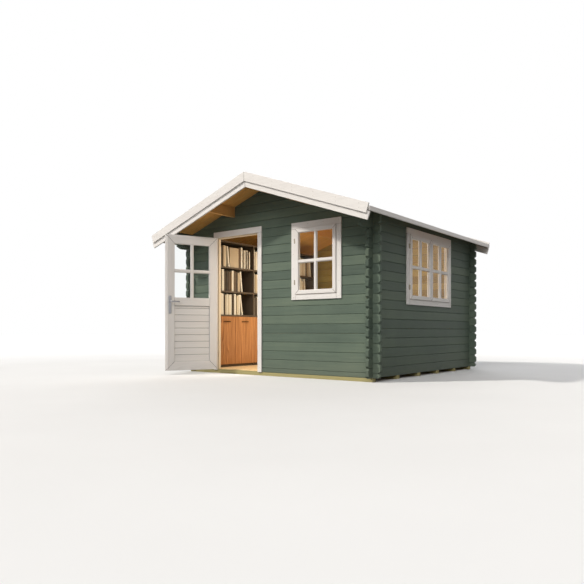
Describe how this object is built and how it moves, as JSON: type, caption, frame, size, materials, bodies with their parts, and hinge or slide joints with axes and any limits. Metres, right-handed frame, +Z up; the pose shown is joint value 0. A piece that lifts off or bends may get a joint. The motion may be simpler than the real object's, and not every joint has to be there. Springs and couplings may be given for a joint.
{
  "type": "log cabin",
  "caption": "Small log cabin with a shallow gable roof, interlocked log corners, a hinged glazed door, casement windows and fitted shelving.",
  "frame": {"origin": "middle of the front bearer's underside, on the ground", "axes": "+X to the right along the front wall seen from outside, +Y from the front wall to the rear wall, +Z up"},
  "size_m": [3.5486, 3.8168, 2.5517],
  "materials": {
    "log_paint": "sage green-grey opaque wood paint, satin",
    "white_paint": "white opaque wood paint, satin",
    "pine": "planed natural pine",
    "bearer": "pressure-treated softwood, faintly green",
    "felt": "mineral-faced bitumen roofing felt",
    "glass": "clear float glass",
    "steel": "satin steel",
    "case_wood": "dark brown stained board",
    "case_door": "warm orange-brown oak veneer"
  },
  "bodies": {
    "cabin": {"bookcase_carcass": "case_wood", "bookcase_doors": "case_door", "bookcase_pulls": "steel", "bookcase_shelves": "case_wood", "door_frame": "pine", "door_sill": "pine", "door_trim": "white_paint", "eave_board_left": "white_paint", "eave_board_right": "white_paint", "floor": "pine", "floor_bearers": "bearer", "front_barge_boards": "white_paint", "front_cover_boards": "white_paint", "front_gable": "log_paint", "front_wall_left": "log_paint", "front_wall_right": "log_paint", "front_window_frame": "pine", "front_window_glass": "glass", "front_window_sash": "white_paint", "front_window_trim": "white_paint", "hinges_frame_side": "steel", "left_wall": "log_paint", "purlin_left": "pine", "purlin_right": "pine", "rear_barge_boards": "white_paint", "rear_cover_boards": "white_paint", "rear_gable": "log_paint", "rear_wall": "log_paint", "ridge_purlin": "pine", "right_wall": "log_paint", "roof_boards_left": "pine", "roof_boards_right": "pine", "roof_felt": "felt", "side_window_frame": "pine", "side_window_glass": "glass", "side_window_sash": "white_paint", "side_window_trim": "white_paint", "window_hinges": "steel"},
    "door": {"door_leaf": "white_paint", "door_panel": "white_paint", "door_glass": "glass", "door_handle_plates": "steel", "hinges_leaf_side": "steel"},
    "lever": {"door_lever": "steel"}
  },
  "joints": [
    {"name": "door_hinge", "type": "hinge", "parent": "cabin", "child": "door", "pos_m": [-0.96025, -0.0633, 0.2725], "axis": [0, 0, 1], "range_deg": [-10, 113]},
    {"name": "lever_turn", "type": "hinge", "parent": "door", "child": "lever", "pos_m": [-1.20306, -0.7052, 0.98], "axis": [-0.9205, 0.3907, 0], "range_deg": [0, 45], "stiffness_Nm_per_rad": 1.5, "springref_deg": -28.65}
  ]
}
